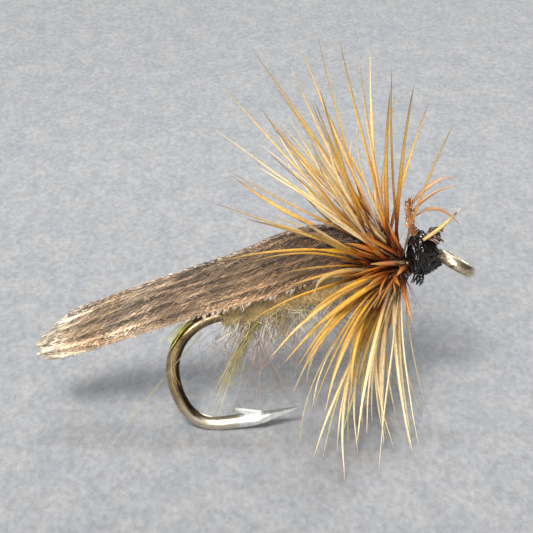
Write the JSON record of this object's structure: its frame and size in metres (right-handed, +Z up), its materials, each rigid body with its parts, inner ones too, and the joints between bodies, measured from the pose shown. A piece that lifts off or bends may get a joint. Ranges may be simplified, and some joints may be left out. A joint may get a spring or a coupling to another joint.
{
  "type": "dry fly",
  "caption": "Artificial dry fly on a barbed down-eye hook: dubbed fur body, tent wing of quill slips, wound golden hackle and black thread head.",
  "frame": {"origin": "centre of the hole through the hook eye", "axes": "the fly stands on its bend and lower hackle with +Z up; +X points towards the eye end, so the wing trails to -X; -Y is the side the picture shows"},
  "size_m": [0.0151, 0.0131, 0.0139],
  "materials": {
    "hook": "bronzed carbon steel wire, bare bright steel at the ground point",
    "thread_underbody": "waxed dark tying thread, close turns",
    "dubbing_body": "matted olive-brown fur dubbing",
    "guard_hairs": "fine grey-brown animal hair",
    "olive_tufts": "soft olive underfur",
    "russet_hairs": "russet guard hair",
    "tag_strand": "bright yellow-olive fibre",
    "bend_fibre": "golden fibre",
    "stray_fibre": "single long olive fibre",
    "wing_near": "mottled grey-brown flight-feather slip",
    "wing_far": "mottled grey-tan flight-feather slip",
    "wing_tie_wraps": "black tying thread",
    "wing_butts": "trimmed brown feather butts",
    "brown_hackle_stem": "glossy brown feather quill",
    "cream_hackle_stem": "glossy cream feather quill",
    "brown_fan_barbs": "stiff glossy golden-brown hackle barbs",
    "brown_near_barbs": "stiff glossy golden-brown hackle barbs",
    "brown_far_barbs": "stiff glossy golden-brown hackle barbs",
    "brown_skirt_barbs": "stiff glossy golden hackle barbs",
    "cream_fan_barbs": "stiff glossy cream hackle barbs",
    "cream_skirt_barbs": "stiff glossy straw-cream hackle barbs",
    "forward_barbs": "curled tan hackle barbs",
    "trapped_barb": "pale hackle barb caught in the head",
    "clipped_stem": "glossy dark brown quill with barb bases",
    "head_thread": "black tying thread soaked in lacquer",
    "whip_finish": "black tying thread",
    "head_lacquer": "hard black glossy head cement",
    "thread_tags": "black cement-soaked thread ends"
  },
  "bodies": {
    "root": {"hook": "hook", "thread_underbody": "thread_underbody", "dubbing_body": "dubbing_body", "guard_hairs": "guard_hairs", "olive_tufts": "olive_tufts", "russet_hairs": "russet_hairs", "tag_strand": "tag_strand", "bend_fibre": "bend_fibre", "stray_fibre": "stray_fibre", "wing_near": "wing_near", "wing_far": "wing_far", "wing_tie_wraps": "wing_tie_wraps", "wing_butts": "wing_butts", "brown_hackle_stem": "brown_hackle_stem", "cream_hackle_stem": "cream_hackle_stem", "brown_fan_barbs": "brown_fan_barbs", "brown_near_barbs": "brown_near_barbs", "brown_far_barbs": "brown_far_barbs", "brown_skirt_barbs": "brown_skirt_barbs", "cream_fan_barbs": "cream_fan_barbs", "cream_skirt_barbs": "cream_skirt_barbs", "forward_barbs": "forward_barbs", "trapped_barb": "trapped_barb", "clipped_stem": "clipped_stem", "head_thread": "head_thread", "whip_finish": "whip_finish", "head_lacquer": "head_lacquer", "thread_tags": "thread_tags"}
  },
  "joints": []
}
